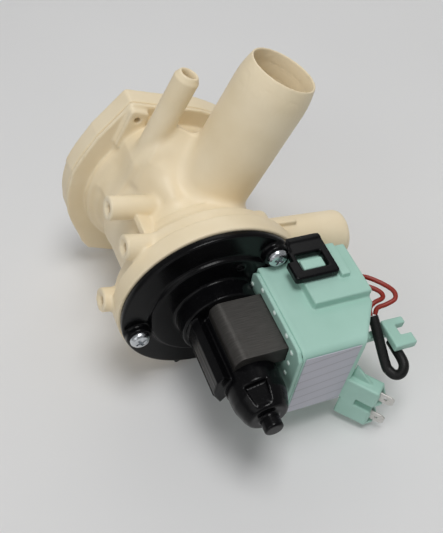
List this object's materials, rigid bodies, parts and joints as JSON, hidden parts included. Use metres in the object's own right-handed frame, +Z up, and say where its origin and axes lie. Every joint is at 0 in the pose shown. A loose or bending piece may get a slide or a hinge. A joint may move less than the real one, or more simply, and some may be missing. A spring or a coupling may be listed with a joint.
{
  "type": "washer drain pump",
  "caption": "Drain pump with a filter housing, upright inlet pipe, side outlet, front shield with screw-out lint filter, and a canned-rotor motor whose coil clips onto the pump cover.",
  "frame": {"origin": "on the pump axis, in the plane of the shield's front rim", "axes": "+Y along the pump axis out of the filter mouth, +Z up as the part lies on a table with the pump axis level, +X to the side of the coil and the outlet"},
  "size_m": [0.1302, 0.1636, 0.1393],
  "materials": {
    "cream_plastic": "satin moulded plastic",
    "mint_plastic": "satin moulded plastic",
    "black_plastic": "gloss moulded plastic",
    "grey_plastic": "satin moulded plastic",
    "white_plastic": "natural moulded plastic",
    "black_rubber": "moulded rubber",
    "zinc_steel": "zinc plated",
    "shaft_steel": "ground",
    "core_steel": "dark varnished laminations",
    "ferrite": "sintered",
    "copper_wire": "enamelled copper wire",
    "bearing_bronze": "sintered bronze",
    "tinned_brass": "tin plated",
    "label_film": "printed film, bare",
    "red_insulation": "wire insulation",
    "black_sleeve": "coated glass-fibre sleeve"
  },
  "bodies": {
    "pump_body": {"filter_housing": "cream_plastic", "pump_cover": "black_plastic", "cover_seal": "black_rubber", "cover_screws": "zinc_steel", "bearing_carrier": "grey_plastic", "carrier_seal": "black_rubber", "front_bearing": "bearing_bronze", "rear_bearing": "bearing_bronze", "thrust_washers": "white_plastic", "stator_core": "core_steel", "bobbin": "mint_plastic", "winding_upper": "copper_wire", "winding_lower": "copper_wire", "coil_case": "mint_plastic", "spade_terminals": "tinned_brass", "rating_label": "label_film", "lead_long": "red_insulation", "lead_short": "red_insulation", "fuse_sleeve": "black_sleeve", "thermal_fuse": "zinc_steel"},
    "rotor": {"rotor_shaft": "shaft_steel", "rotor_hub": "white_plastic", "rotor_magnet": "ferrite", "drive_dog": "white_plastic"},
    "impeller": {"impeller": "black_plastic", "impeller_cap": "grey_plastic"},
    "filter_seal": {"filter_seal": "black_rubber"},
    "filter_plug": {"filter_plug": "grey_plastic", "filter_cage": "grey_plastic"}
  },
  "joints": [
    {"name": "rotor_spin", "type": "hinge", "parent": "pump_body", "child": "rotor", "pos_m": [0, -0.12, 0], "axis": [0, 1, 0], "continuous": true},
    {"name": "impeller_play", "type": "hinge", "parent": "rotor", "child": "impeller", "pos_m": [0, -0.082, 0], "axis": [0, 1, 0], "range_deg": [-95, 95]},
    {"name": "filter_travel", "type": "slide", "parent": "pump_body", "child": "filter_seal", "axis": [0, 1, 0], "range_m": [0, 0.012]},
    {"name": "filter_turn", "type": "hinge", "parent": "filter_seal", "child": "filter_plug", "pos_m": [0, 0, 0], "axis": [0, 1, 0], "range_deg": [0, 720]}
  ],
  "couplings": [
    {"joint": "filter_travel", "follows": "filter_turn", "m_per_rad": 0.00095493}
  ]
}
